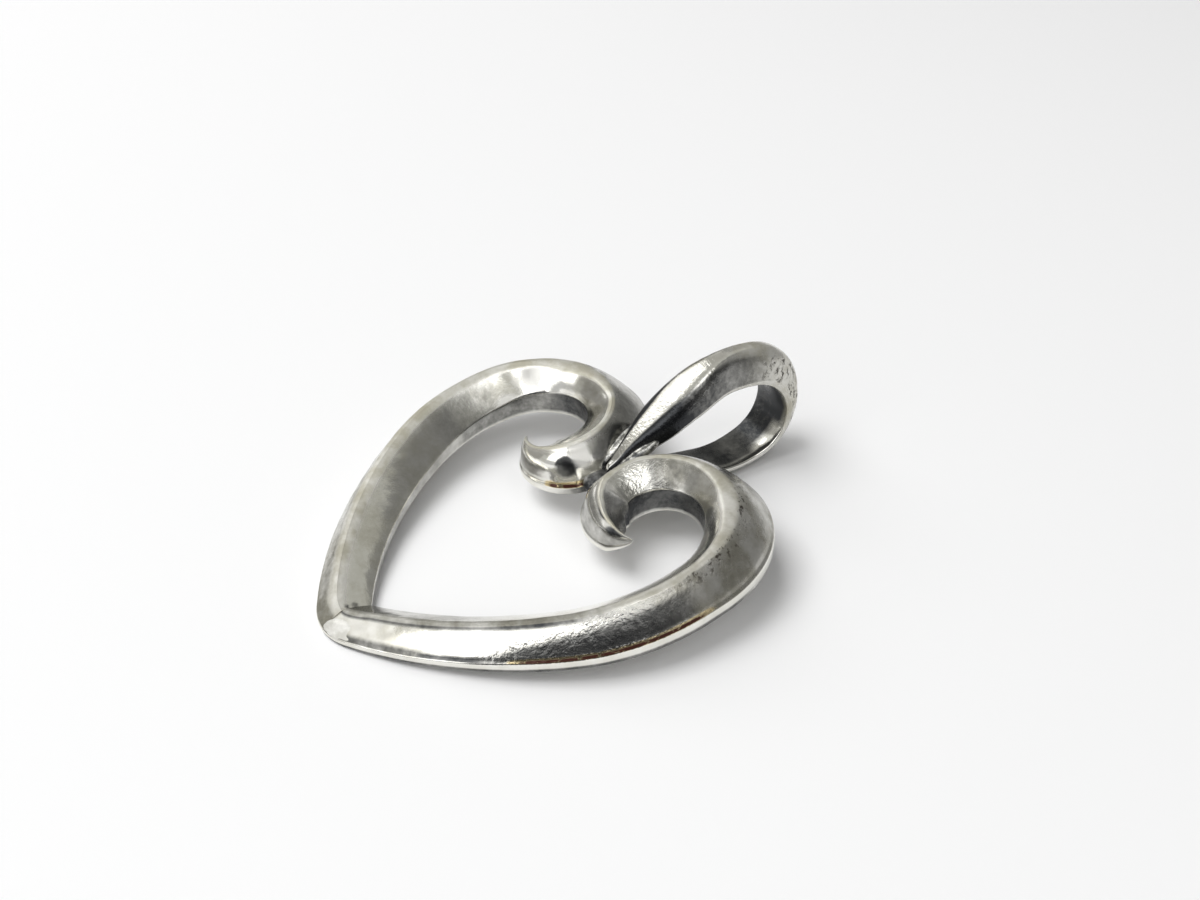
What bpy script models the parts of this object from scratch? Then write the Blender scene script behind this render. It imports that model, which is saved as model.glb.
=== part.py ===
"""Heart pendant: two mirrored silver scroll arms soldered into a heart, with a domed bail soldered behind them.

It is modelled flat on its back, with the mirror plane at X = 0, the tip's crest at the origin, the bail towards
+Y and the worked face up. An empty then lays it on the table, on its tip and on the bail's back leg.
"""
import math
from collections import namedtuple

import bmesh
import bpy
import numpy as np
from mathutils import Vector

MM = 0.001

# The crest line of the right arm, seen from above: arcs that turn left all the way from the tip to the hook's
# end. A heading is the way the line runs, in degrees from +X.
SIDE_RADIUS = 22.7
SHOULDER_RADIUS = 11.6
LOBE_RADIUS = 5.7
SCROLL_HOLE_RADIUS = 2.6
HOOK_HOLE_RADIUS = 0.2
SCROLL_CENTRE_Y = 16.8
LOBE_HEADING = 96.0
SCROLL_HEADING = 153.0
HOOK_HEADING = 284.0
HOOK_END_HEADING = 412.0

# The arm's section at eight places along it: the widths of the outer and inner slopes in plan, the heights of
# the crest and of the two upright walls, and half the width of the flat band on the crest. A wall is never more
# than its share of the crest's height, and a rounding never takes more than its share of the edge beside it.
Section = namedtuple("Section", "heading outer inner crest outer_wall inner_wall half_band")
TIP = Section(28.0, 1.0, 1.2, 1.1, 0.38, 0.2, 0.24)
SIDE = Section(60.0, 1.25, 1.75, 2.2, 0.72, 0.75, 0.25)
SHOULDER = Section(95.0, 1.3, 1.5, 2.75, 0.78, 1.25, 0.26)
LOBE = Section(150.0, 2.2, 1.1, 3.0, 0.65, 1.65, 0.28)
SCROLL = Section(205.0, 2.15, 1.0, 2.9, 0.7, 1.65, 0.3)
VALLEY = Section(270.0, 1.3, 1.3, 2.75, 0.75, 2.0, 0.35)
HOOK = Section(330.0, 0.5, 1.35, 2.3, 0.7, 1.85, 0.38)
HOOK_END = Section(412.0, 0.08, 0.1, 1.15, 0.4, 0.4, 0.12)
ARM_SECTIONS = (TIP, SIDE, SHOULDER, LOBE, SCROLL, VALLEY, HOOK, HOOK_END)
SLOPE_SWELL = 0.06
CREST_ROUNDING = 0.16
WALL_ROUNDING = 0.1
MOST_ROUNDED = 0.45
MOST_OUTER_WALL = 0.7
MOST_INNER_WALL = 0.85

# The bail's inner surface in the mirror plane, from the foot of its front leg: a bend out of the valley, an
# arched front leg, a tight top, and a back leg that comes up under the heart and lies flat against it. The foot
# and the seat are placed from the scroll's centre.
FOOT_REACH = 0.5
FOOT_HEIGHT = 0.45
FOOT_ANGLE = 10.0
FOOT_RADIUS = 3.0
FRONT_START_ANGLE = 38.0
FRONT_RADIUS = 10.4
FRONT_END_ANGLE = -14.0
TOP_RADIUS = 3.2
TOP_END_ANGLE = -81.0
UNDER_RADIUS = 2.3
UNDER_END_ANGLE = -168.0
FLAT_ANGLE = -180.0
BACK_RADIUS = 6.4
SEAT_REACH = 2.4
SEAT_RADIUS = 2.0
SEAT_LENGTH = 1.8
SEAT_GAP = 0.12

# The bail's section, by the share of its length: half its width, its rim and the dome's rise above the rim.
Band = namedtuple("Band", "share half_width rim dome")
BAIL_BANDS = (Band(0.0, 0.3, 0.35, 0.6), Band(0.14, 1.05, 0.4, 0.75), Band(0.32, 1.05, 0.6, 1.7),
              Band(0.52, 1.45, 0.55, 1.1), Band(0.66, 1.4, 0.3, 0.6), Band(0.85, 1.2, 0.3, 0.5),
              Band(1.0, 1.15, 0.3, 0.4))
DOME_POWER = 2.6
DOME_SHARES = (0.97, 0.86, 0.66, 0.4, 0.14)

# Solder, and the joints that it fills.
SEAM_GAP = 0.1
TIP_SOLDER_THICKNESS = 0.2
TIP_SOLDER_INSET = 0.12
SCROLL_SOLDER_LENGTH = 2.2
SCROLL_SOLDER_WIDTH = 1.8
SCROLL_SOLDER_HEIGHTS = (0.2, 1.15)
FRONT_SOLDER_LENGTH = 3.8
FRONT_SOLDER_WIDTH = 3.2
FRONT_SOLDER_HEIGHTS = (0.2, 2.6)
BACK_SOLDER_SPREAD = 0.6
BACK_SOLDER_DEPTH = 0.45
LEAST_SIZE = 0.05

# How finely the curves are cut.
STEP_LENGTH = 0.9
STEP_ANGLE = 9.0
REACH_SAMPLES = 60
DROP_SEGMENTS = 20
DROP_RINGS = 12
ON_PLANE = 1e-6
SHARP_ANGLE = math.radians(32.0)


def clear_scene():
    for item in list(bpy.data.objects):
        bpy.data.objects.remove(item, do_unlink=True)


def make_material(name, colour, roughness):
    material = bpy.data.materials.new(name)
    material.use_nodes = True
    shader = material.node_tree.nodes["Principled BSDF"]
    shader.inputs["Base Color"].default_value = (*colour, 1.0)
    shader.inputs["Metallic"].default_value = 1.0
    shader.inputs["Roughness"].default_value = roughness
    return material


def add_object(name, mesh_builder, material, parent):
    """Makes an object from a bmesh in millimetres."""
    bmesh.ops.scale(mesh_builder, vec=(MM, MM, MM), verts=mesh_builder.verts)
    bmesh.ops.recalc_face_normals(mesh_builder, faces=mesh_builder.faces)
    mesh = bpy.data.meshes.new(name)
    mesh_builder.to_mesh(mesh)
    mesh_builder.free()
    mesh.shade_smooth()
    mesh.set_sharp_from_angle(angle=SHARP_ANGLE)
    if material:
        mesh.materials.append(material)
    item = bpy.data.objects.new(name, mesh)
    bpy.context.collection.objects.link(item)
    item.parent = parent
    return item


def add_cutter(name, mesh_builder, parent, group):
    item = add_object(name, mesh_builder, None, parent)
    item.hide_render = True
    item.display_type = "WIRE"
    group.objects.link(item)


def cut_by(item, group):
    boolean = item.modifiers.new("seat", "BOOLEAN")
    boolean.operation = "DIFFERENCE"
    boolean.solver = "EXACT"
    boolean.operand_type = "COLLECTION"
    boolean.collection = group


def blend(stations, field, place):
    """Reads one size between stations, along a smooth curve through their values."""
    places = [station[0] for station in stations]
    values = [getattr(station, field) for station in stations]
    slopes = np.gradient(values, places)
    place = min(max(place, places[0]), places[-1])
    k = min(int(np.searchsorted(places, place, side="right")), len(places) - 1) - 1
    span = places[k + 1] - places[k]
    t = (place - places[k]) / span
    value = ((1 + 2 * t) * (1 - t) ** 2 * values[k] + t * (1 - t) ** 2 * span * slopes[k]
             + t * t * (3 - 2 * t) * values[k + 1] - t * t * (1 - t) * span * slopes[k + 1])
    return max(float(value), LEAST_SIZE)


def outward(heading):
    """The unit vector to the right of a heading: away from the arc's centre."""
    angle = math.radians(heading)
    return Vector((math.sin(angle), -math.cos(angle)))


def steps_for_length(length):
    return max(math.ceil(length / STEP_LENGTH), 1)


def steps_for(radius, sweep):
    return max(steps_for_length(abs(radius * math.radians(sweep))), math.ceil(abs(sweep) / STEP_ANGLE), 2)


def crest_arcs():
    """The crest line as arcs of centre, radius, first and last heading.

    The outer wall of the scroll just clears the mirror plane, and the side arc starts on that plane, at the tip.
    """
    scroll_radius = SCROLL_HOLE_RADIUS + SCROLL.inner + SCROLL.half_band
    hook_radius = HOOK_HOLE_RADIUS + HOOK.inner + HOOK.half_band
    scroll = Vector((0.0, SCROLL_CENTRE_Y))
    hook = scroll + (scroll_radius - hook_radius) * outward(HOOK_HEADING)
    lobe = scroll + (scroll_radius - LOBE_RADIUS) * outward(SCROLL_HEADING)
    shoulder = lobe + (LOBE_RADIUS - SHOULDER_RADIUS) * outward(LOBE_HEADING)
    reach = []
    for centre, radius, first, last in ((scroll, scroll_radius, SCROLL_HEADING, HOOK_HEADING),
                                        (hook, hook_radius, HOOK_HEADING, HOOK_END_HEADING)):
        for heading in np.linspace(first, last, REACH_SAMPLES):
            overhang = blend(ARM_SECTIONS, "outer", heading) + blend(ARM_SECTIONS, "half_band", heading)
            reach.append(centre.x + (radius + overhang) * outward(heading).x)
    shift = Vector((SEAM_GAP / 2 - min(reach), 0.0))
    for centre in (scroll, hook, lobe, shoulder):
        centre += shift
    distance = shoulder.length
    apart = SIDE_RADIUS - SHOULDER_RADIUS
    cosine = (SIDE_RADIUS ** 2 + distance ** 2 - apart ** 2) / (2 * SIDE_RADIUS * distance)
    turn = math.atan2(shoulder.y, shoulder.x) + math.acos(cosine)
    side = SIDE_RADIUS * Vector((math.cos(turn), math.sin(turn)))
    to_shoulder = shoulder - side
    shoulder_heading = math.degrees(math.atan2(to_shoulder.x, -to_shoulder.y))
    tip_heading = math.degrees(math.atan2(-side.x, side.y))
    return ((side, SIDE_RADIUS, tip_heading, shoulder_heading),
            (shoulder, SHOULDER_RADIUS, shoulder_heading, LOBE_HEADING),
            (lobe, LOBE_RADIUS, LOBE_HEADING, SCROLL_HEADING),
            (scroll, scroll_radius, SCROLL_HEADING, HOOK_HEADING),
            (hook, hook_radius, HOOK_HEADING, HOOK_END_HEADING))


def crest_line():
    """Points and headings along the crest, from a run past the tip, which the mitre cuts off, to the hook."""
    arcs = crest_arcs()
    first = arcs[0][2]
    angle = math.radians(first)
    run_out = (TIP.outer + TIP.inner) * Vector((math.cos(angle), math.sin(angle)))
    line = [(-run_out, first), (Vector((0.0, 0.0)), first)]
    for centre, radius, start, end in arcs:
        count = steps_for(radius, end - start)
        for k in range(1, count + 1):
            heading = start + (end - start) * k / count
            line.append((centre + radius * outward(heading), heading))
    return line


def rounded(corner, before, after, radius):
    """Three points that round a corner between its neighbours."""
    start = corner + (before - corner).normalized() * min(radius, (before - corner).length * MOST_ROUNDED)
    end = corner + (after - corner).normalized() * min(radius, (after - corner).length * MOST_ROUNDED)
    return [start, (start + 2 * corner + end) / 4, end]


def swollen_middle(start, end):
    """The middle of a slope, raised a little, because the slopes are slightly full."""
    run = end - start
    across = Vector((-run.y, run.x)).normalized()
    return (start + end) / 2 + across * (SLOPE_SWELL if across.y > 0 else -SLOPE_SWELL)


def arm_section(heading, clearance):
    """The section's outline from its outer foot over the crest to its inner foot, as offset and height."""
    size = {field: blend(ARM_SECTIONS, field, heading) for field in Section._fields[1:]}
    half = size["half_band"]
    outer = half + size["outer"] + clearance
    inner = -half - size["inner"] - clearance
    crest = size["crest"] + clearance
    outer_foot, inner_foot = Vector((outer, -clearance)), Vector((inner, -clearance))
    outer_top = Vector((outer, min(size["outer_wall"], size["crest"] * MOST_OUTER_WALL) + clearance))
    inner_top = Vector((inner, min(size["inner_wall"], size["crest"] * MOST_INNER_WALL) + clearance))
    outer_band, inner_band = Vector((half, crest)), Vector((-half, crest))
    outer_slope = swollen_middle(outer_top, outer_band)
    inner_slope = swollen_middle(inner_band, inner_top)
    return [outer_foot, *rounded(outer_top, outer_foot, outer_slope, WALL_ROUNDING), outer_slope,
            *rounded(outer_band, outer_slope, inner_band, CREST_ROUNDING),
            *rounded(inner_band, outer_band, inner_slope, CREST_ROUNDING), inner_slope,
            *rounded(inner_top, inner_slope, inner_foot, WALL_ROUNDING), inner_foot]


def loft(rings):
    """A closed skin over rings of as many points each, with a flat cap on both ends."""
    builder = bmesh.new()
    rows = [[builder.verts.new(point) for point in ring] for ring in rings]
    count = len(rows[0])
    for row, following in zip(rows, rows[1:]):
        for k in range(count):
            j = (k + 1) % count
            builder.faces.new((row[k], row[j], following[j], following[k]))
    builder.faces.new(rows[0])
    builder.faces.new(rows[-1][::-1])
    bmesh.ops.recalc_face_normals(builder, faces=builder.faces)
    return builder


def arm_skin(clearance=0.0):
    rings = []
    for point, heading in crest_line():
        side = outward(heading)
        section = arm_section(heading, clearance)
        rings.append([Vector((*(point + side * offset), height)) for offset, height in section])
    return loft(rings)


def slice_at(builder, x, keep_right):
    """Cuts a skin by a plane across X, drops one side and closes the cut."""
    everything = builder.verts[:] + builder.edges[:] + builder.faces[:]
    bmesh.ops.bisect_plane(builder, geom=everything, plane_co=(x, 0, 0), plane_no=(1, 0, 0),
                           clear_inner=keep_right, clear_outer=not keep_right)
    rim = [edge for edge in builder.edges if edge.is_boundary]
    bmesh.ops.holes_fill(builder, edges=rim, sides=0)


def mirrored(builder):
    bmesh.ops.scale(builder, vec=(-1, 1, 1), verts=builder.verts)
    bmesh.ops.reverse_faces(builder, faces=builder.faces)
    return builder


def build_arm(name, is_left, material, parent):
    builder = arm_skin()
    slice_at(builder, TIP_SOLDER_THICKNESS / 2 + SEAM_GAP, keep_right=True)
    return add_object(name, mirrored(builder) if is_left else builder, material, parent)


def build_arm_cutter(name, is_left, parent, group):
    builder = arm_skin(SEAM_GAP)
    add_cutter(name, mirrored(builder) if is_left else builder, parent, group)


def bail_line():
    """Points and angles along the bail's inner surface, in the mirror plane as y, z.

    The back leg's straight stretch is the line that touches both the arc before it and the arc of the seat.
    """
    point, angle = Vector((SCROLL_CENTRE_Y + FOOT_REACH, FOOT_HEIGHT)), FOOT_ANGLE
    line = [(point, angle)]

    def turn_to(last_angle, radius):
        nonlocal point, angle
        side = 1.0 if last_angle > angle else -1.0
        centre = point + side * radius * bail_normal(angle)
        count = steps_for(radius, last_angle - angle)
        first = angle
        for k in range(1, count + 1):
            angle = first + (last_angle - first) * k / count
            line.append((centre - side * radius * bail_normal(angle), angle))
        point = line[-1][0]

    turn_to(FRONT_START_ANGLE, FOOT_RADIUS)
    turn_to(FRONT_END_ANGLE, FRONT_RADIUS)
    turn_to(TOP_END_ANGLE, TOP_RADIUS)
    turn_to(UNDER_END_ANGLE, UNDER_RADIUS)
    back = point - BACK_RADIUS * bail_normal(angle)
    seat = Vector((SCROLL_CENTRE_Y + SEAT_REACH, -SEAT_GAP - SEAT_RADIUS))
    to_seat = seat - back
    swing = math.asin((BACK_RADIUS + SEAT_RADIUS) / to_seat.length)
    lean = math.degrees(math.atan2(to_seat.y, to_seat.x) - swing)
    turn_to(lean, BACK_RADIUS)
    straight = seat - SEAT_RADIUS * bail_normal(lean) - point
    count = steps_for_length(straight.length)
    line += [(point + straight * k / count, angle) for k in range(1, count + 1)]
    point = line[-1][0]
    turn_to(FLAT_ANGLE, SEAT_RADIUS)
    line.append((point - Vector((SEAT_LENGTH, 0.0)), angle))
    return line


def bail_normal(angle):
    """The way out of the loop, to the left of the bail's line."""
    return Vector((-math.sin(math.radians(angle)), math.cos(math.radians(angle))))


def band_section(share, clearance):
    """The bail's outline, flat inside and domed outside, as offset along X and height off the line."""
    half = blend(BAIL_BANDS, "half_width", share)
    rim = blend(BAIL_BANDS, "rim", share)
    dome = blend(BAIL_BANDS, "dome", share) + clearance
    reach = half + clearance
    right = [(reach * s, rim + dome * (1 - s ** DOME_POWER) ** (1 / DOME_POWER)) for s in DOME_SHARES]
    left = [(-offset, height) for offset, height in reversed(right)]
    return [(reach, -clearance), (reach, rim), *right, *left, (-reach, rim), (-reach, -clearance)]


def bail_skin(clearance=0.0):
    line = bail_line()
    travelled = [0.0]
    for (start, _), (end, _) in zip(line, line[1:]):
        travelled.append(travelled[-1] + (end - start).length)
    rings = []
    for (point, angle), distance in zip(line, travelled):
        normal = bail_normal(angle)
        ring = []
        for offset, height in band_section(distance / travelled[-1], clearance):
            ring.append(Vector((offset, *(point + normal * height))))
        rings.append(ring)
    return loft(rings)


def tip_solder_skin():
    """A thin wafer of the arms' own outline where they meet, a little inside their skin."""
    builder = arm_skin()
    slice_at(builder, 0.0, keep_right=True)
    outline = [vert.co.copy() for vert in builder.verts if abs(vert.co.x) < ON_PLANE]
    builder.free()
    centre = sum(outline, Vector()) / len(outline)
    outline.sort(key=lambda co: math.atan2(co.z - centre.z, co.y - centre.y))
    wafer = bmesh.new()
    rows = []
    for x in (-TIP_SOLDER_THICKNESS / 2, TIP_SOLDER_THICKNESS / 2):
        ring = []
        for co in outline:
            away = co - centre
            inset = centre + away * (1 - TIP_SOLDER_INSET / away.length)
            ring.append(wafer.verts.new((x, inset.y, inset.z)))
        rows.append(ring)
    count = len(outline)
    for k in range(count):
        j = (k + 1) % count
        wafer.faces.new((rows[0][k], rows[0][j], rows[1][j], rows[1][k]))
    wafer.faces.new(rows[0])
    wafer.faces.new(rows[1][::-1])
    return wafer


def solder_drop(middle_y, width, length, heights):
    """A solid drop of solder on the mirror plane, between two heights."""
    builder = bmesh.new()
    low, high = heights
    bmesh.ops.create_uvsphere(builder, u_segments=DROP_SEGMENTS, v_segments=DROP_RINGS, radius=0.5)
    bmesh.ops.scale(builder, vec=(width, length, high - low), verts=builder.verts)
    bmesh.ops.translate(builder, vec=(0, middle_y, (low + high) / 2), verts=builder.verts)
    return builder


def back_solder_skin():
    """The bead round the bail's seat, flat where it lies against the heart."""
    length = SEAT_LENGTH + BACK_SOLDER_SPREAD
    width = 2 * (BAIL_BANDS[-1].half_width + BACK_SOLDER_SPREAD)
    bead = solder_drop(SCROLL_CENTRE_Y + SEAT_REACH - length / 2, width, length,
                       (-SEAM_GAP - BACK_SOLDER_DEPTH, -SEAM_GAP + BACK_SOLDER_DEPTH))
    bmesh.ops.bisect_plane(bead, geom=bead.verts[:] + bead.edges[:] + bead.faces[:], plane_co=(0, 0, -SEAM_GAP),
                           plane_no=(0, 0, 1), clear_outer=True)
    bmesh.ops.holes_fill(bead, edges=[edge for edge in bead.edges if edge.is_boundary], sides=0)
    return bead


def lay_on_table(pendant, pieces):
    """Tilts the pendant onto its tip and the lowest point behind it, and centres its box on the origin."""
    points = np.array([vert.co for piece in pieces for vert in piece.data.vertices])
    tip = points[points[:, 1].argmin()]
    low = points[points[:, 2] < -SEAM_GAP * MM]
    tilt = np.arctan2(-low[:, 2], low[:, 1] - tip[1]).max()
    y = points[:, 1] * math.cos(tilt) - points[:, 2] * math.sin(tilt)
    z = points[:, 1] * math.sin(tilt) + points[:, 2] * math.cos(tilt)
    pendant.rotation_euler = (tilt, 0.0, 0.0)
    pendant.location = (0.0, -(y.min() + y.max()) / 2, -z.min())


def main():
    clear_scene()
    silver = make_material("worn silver", (0.62, 0.6, 0.56), 0.22)
    far_silver = make_material("mottled silver", (0.56, 0.54, 0.5), 0.26)
    bail_silver = make_material("bail silver", (0.6, 0.58, 0.54), 0.2)
    solder = make_material("dark solder", (0.2, 0.2, 0.2), 0.4)
    tip_solder = make_material("tip solder", (0.45, 0.44, 0.42), 0.35)
    front_solder = make_material("front solder", (0.16, 0.16, 0.17), 0.4)
    back_solder = make_material("back solder", (0.24, 0.23, 0.22), 0.45)

    pendant = bpy.data.objects.new("pendant", None)
    bpy.context.collection.objects.link(pendant)

    right = build_arm("right_scroll", False, silver, pendant)
    left = build_arm("left_scroll", True, far_silver, pendant)
    arm_room = bpy.data.collections.new("arm room")
    bail_room = bpy.data.collections.new("bail room")
    build_arm_cutter("right_scroll_room", False, pendant, arm_room)
    build_arm_cutter("left_scroll_room", True, pendant, arm_room)
    add_cutter("bail_skin_room", bail_skin(SEAM_GAP), pendant, bail_room)

    bail = add_object("bail", bail_skin(), bail_silver, pendant)
    cut_by(bail, arm_room)

    add_object("tip_solder", tip_solder_skin(), tip_solder, pendant)
    scroll_drop = solder_drop(SCROLL_CENTRE_Y, SCROLL_SOLDER_WIDTH, SCROLL_SOLDER_LENGTH, SCROLL_SOLDER_HEIGHTS)
    front_y = SCROLL_CENTRE_Y + SCROLL_SOLDER_LENGTH / 2 + SEAM_GAP + FRONT_SOLDER_LENGTH / 2
    front_drop = solder_drop(front_y, FRONT_SOLDER_WIDTH, FRONT_SOLDER_LENGTH, FRONT_SOLDER_HEIGHTS)
    scroll_bead = add_object("scroll_solder", scroll_drop, solder, pendant)
    cut_by(scroll_bead, arm_room)
    cut_by(scroll_bead, bail_room)
    front_bead = add_object("bail_front_solder", front_drop, front_solder, pendant)
    cut_by(front_bead, arm_room)
    cut_by(front_bead, bail_room)
    back_bead = add_object("bail_back_solder", back_solder_skin(), back_solder, pendant)
    cut_by(back_bead, bail_room)

    lay_on_table(pendant, (right, left, bail))


main()
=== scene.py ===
"""The looks of the silver heart pendant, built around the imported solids."""
import math
from collections import namedtuple

import bmesh
import bpy
import numpy as np
from mathutils import Matrix, Vector
from mathutils.noise import noise


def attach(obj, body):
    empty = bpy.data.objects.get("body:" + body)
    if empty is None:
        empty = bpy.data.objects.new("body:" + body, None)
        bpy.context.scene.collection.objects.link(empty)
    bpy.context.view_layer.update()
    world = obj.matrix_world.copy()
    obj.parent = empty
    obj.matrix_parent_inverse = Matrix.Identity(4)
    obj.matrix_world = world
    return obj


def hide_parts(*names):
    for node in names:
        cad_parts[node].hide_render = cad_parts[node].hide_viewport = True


MM = 0.001

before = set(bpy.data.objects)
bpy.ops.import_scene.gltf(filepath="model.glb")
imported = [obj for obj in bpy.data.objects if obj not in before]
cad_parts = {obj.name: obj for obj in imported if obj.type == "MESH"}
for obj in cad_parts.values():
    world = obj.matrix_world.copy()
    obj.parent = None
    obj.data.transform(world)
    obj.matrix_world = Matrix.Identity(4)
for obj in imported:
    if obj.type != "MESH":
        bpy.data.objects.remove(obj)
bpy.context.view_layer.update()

# How the pendant lies on the table: turned about X by its lean, then moved along Y and up.
LEAN = math.radians(6.7008)
TABLE_SHIFT = Vector((0.0, -15.0512, 0.1518))
LYING = Matrix.Translation(TABLE_SHIFT * MM) @ Matrix.Rotation(LEAN, 4, "X")

# The sizes of the solids, in millimetres and degrees, in the pendant's own frame: flat on its back, tip at the
# origin, bail towards +Y.
SIDE_RADIUS = 22.7
SHOULDER_RADIUS = 11.6
LOBE_RADIUS = 5.7
SCROLL_HOLE_RADIUS = 2.6
HOOK_HOLE_RADIUS = 0.2
SCROLL_CENTRE_Y = 16.8
LOBE_HEADING = 96.0
SCROLL_HEADING = 153.0
HOOK_HEADING = 284.0
HOOK_END_HEADING = 412.0
Section = namedtuple("Section", "heading outer inner crest outer_wall inner_wall half_band")
TIP = Section(28.0, 1.0, 1.2, 1.1, 0.38, 0.2, 0.24)
SIDE = Section(60.0, 1.25, 1.75, 2.2, 0.72, 0.75, 0.25)
SHOULDER = Section(95.0, 1.3, 1.5, 2.75, 0.78, 1.25, 0.26)
LOBE = Section(150.0, 2.2, 1.1, 3.0, 0.65, 1.65, 0.28)
SCROLL = Section(205.0, 2.15, 1.0, 2.9, 0.7, 1.65, 0.3)
VALLEY = Section(270.0, 1.3, 1.3, 2.75, 0.75, 2.0, 0.35)
HOOK = Section(330.0, 0.5, 1.35, 2.3, 0.7, 1.85, 0.38)
HOOK_END = Section(412.0, 0.08, 0.1, 1.15, 0.4, 0.4, 0.12)
ARM_SECTIONS = (TIP, SIDE, SHOULDER, LOBE, SCROLL, VALLEY, HOOK, HOOK_END)
FOOT_REACH = 0.5
FOOT_HEIGHT = 0.45
FOOT_ANGLE = 10.0
FOOT_RADIUS = 3.0
FRONT_START_ANGLE = 38.0
FRONT_RADIUS = 10.4
FRONT_END_ANGLE = -14.0
TOP_RADIUS = 3.2
TOP_END_ANGLE = -81.0
UNDER_RADIUS = 2.3
UNDER_END_ANGLE = -168.0
FLAT_ANGLE = -180.0
BACK_RADIUS = 6.4
SEAT_REACH = 2.4
SEAT_RADIUS = 2.0
SEAT_LENGTH = 1.8
SEAT_GAP = 0.12
Band = namedtuple("Band", "share half_width rim dome")
BAIL_BANDS = (Band(0.0, 0.3, 0.35, 0.6), Band(0.14, 1.05, 0.4, 0.75), Band(0.32, 1.05, 0.6, 1.7),
              Band(0.52, 1.45, 0.55, 1.1), Band(0.66, 1.4, 0.3, 0.6), Band(0.85, 1.2, 0.3, 0.5),
              Band(1.0, 1.15, 0.3, 0.4))

SCROLL_GAP = 0.05

# How finely the skins are cut: the longest step and the widest turn along a line, then counts of points.
STEP_LENGTH = 0.13
STEP_ANGLE = 2.0
REACH_SAMPLES = 60
CORNER_POINTS = 5
ARM_CUTS = (8, 22, 4, 12, 6, 6)
DOME_STEPS = 18
RUN_OUT_STEPS = 8
RUN_ON_STEPS = 4


def blend(stations, field, place):
    """Reads one size between stations, along a smooth curve through their values."""
    places = [station[0] for station in stations]
    values = [getattr(station, field) for station in stations]
    slopes = np.gradient(values, places)
    place = min(max(place, places[0]), places[-1])
    k = min(int(np.searchsorted(places, place, side="right")), len(places) - 1) - 1
    span = places[k + 1] - places[k]
    t = (place - places[k]) / span
    value = ((1 + 2 * t) * (1 - t) ** 2 * values[k] + t * (1 - t) ** 2 * span * slopes[k]
             + t * t * (3 - 2 * t) * values[k + 1] - t * t * (1 - t) * span * slopes[k + 1])
    return max(float(value), 0.05)


def between(table, place):
    """Reads a table of places and values, straight from each row to the next."""
    return float(np.interp(place, *zip(*table)))


def outward(heading):
    """The direction away from an arc's centre, where the line runs on this heading."""
    angle = math.radians(heading)
    return Vector((math.sin(angle), -math.cos(angle)))


def onward(heading):
    """The direction that the line runs in on this heading."""
    angle = math.radians(heading)
    return Vector((math.cos(angle), math.sin(angle)))


def steps_for(radius, sweep):
    """How many steps an arc is cut into."""
    by_length = math.ceil(abs(radius * math.radians(sweep)) / STEP_LENGTH)
    return max(by_length, math.ceil(abs(sweep) / STEP_ANGLE), 2)


def crest_arcs():
    """The crest line as arcs of centre, radius, first and last heading, as in the solids."""
    scroll_radius = SCROLL_HOLE_RADIUS + SCROLL.inner + SCROLL.half_band
    hook_radius = HOOK_HOLE_RADIUS + HOOK.inner + HOOK.half_band
    scroll = Vector((0.0, SCROLL_CENTRE_Y))
    hook = scroll + (scroll_radius - hook_radius) * outward(HOOK_HEADING)
    lobe = scroll + (scroll_radius - LOBE_RADIUS) * outward(SCROLL_HEADING)
    shoulder = lobe + (LOBE_RADIUS - SHOULDER_RADIUS) * outward(LOBE_HEADING)
    reach = []
    for centre, radius, first, last in ((scroll, scroll_radius, SCROLL_HEADING, HOOK_HEADING),
                                        (hook, hook_radius, HOOK_HEADING, HOOK_END_HEADING)):
        for heading in np.linspace(first, last, REACH_SAMPLES):
            overhang = blend(ARM_SECTIONS, "outer", heading) + blend(ARM_SECTIONS, "half_band", heading)
            reach.append(centre.x + (radius + overhang) * outward(heading).x)
    shift = Vector((SCROLL_GAP - min(reach), 0.0))
    for centre in (scroll, hook, lobe, shoulder):
        centre += shift
    distance = shoulder.length
    apart = SIDE_RADIUS - SHOULDER_RADIUS
    cosine = (SIDE_RADIUS ** 2 + distance ** 2 - apart ** 2) / (2 * SIDE_RADIUS * distance)
    turn = math.atan2(shoulder.y, shoulder.x) + math.acos(cosine)
    side = SIDE_RADIUS * Vector((math.cos(turn), math.sin(turn)))
    to_shoulder = shoulder - side
    shoulder_heading = math.degrees(math.atan2(to_shoulder.x, -to_shoulder.y))
    tip_heading = math.degrees(math.atan2(-side.x, side.y))
    return ((side, SIDE_RADIUS, tip_heading, shoulder_heading),
            (shoulder, SHOULDER_RADIUS, shoulder_heading, LOBE_HEADING),
            (lobe, LOBE_RADIUS, LOBE_HEADING, SCROLL_HEADING),
            (scroll, scroll_radius, SCROLL_HEADING, HOOK_HEADING),
            (hook, hook_radius, HOOK_HEADING, HOOK_END_HEADING))


def crest_line(run_on):
    """Points, headings and the distance walked, from a run past the tip to a short run on past the hook's end."""
    arcs = crest_arcs()
    first = arcs[0][2]
    run_out = (TIP.outer + TIP.inner) * onward(first)
    line = [(-run_out * (1 - k / RUN_OUT_STEPS), first) for k in range(RUN_OUT_STEPS)]
    line.append((Vector((0.0, 0.0)), first))
    for centre, radius, start, end in arcs:
        count = steps_for(radius, end - start)
        for k in range(1, count + 1):
            heading = start + (end - start) * k / count
            line.append((centre + radius * outward(heading), heading))
    last, heading = line[-1]
    ahead = run_on * onward(heading)
    line += [(last + ahead * k / RUN_ON_STEPS, heading) for k in range(1, RUN_ON_STEPS + 1)]
    walked = [0.0]
    for (a, _), (b, _) in zip(line, line[1:]):
        walked.append(walked[-1] + (b - a).length)
    return [(point, heading, distance - run_out.length) for (point, heading), distance in zip(line, walked)]


CORNER_SHARE = 0.45
# These bring the tops of t * (1 - t) and t * t * (1 - t) to 1.
EVEN_PEAK = 4
HIGH_PEAK = 6.75


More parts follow.
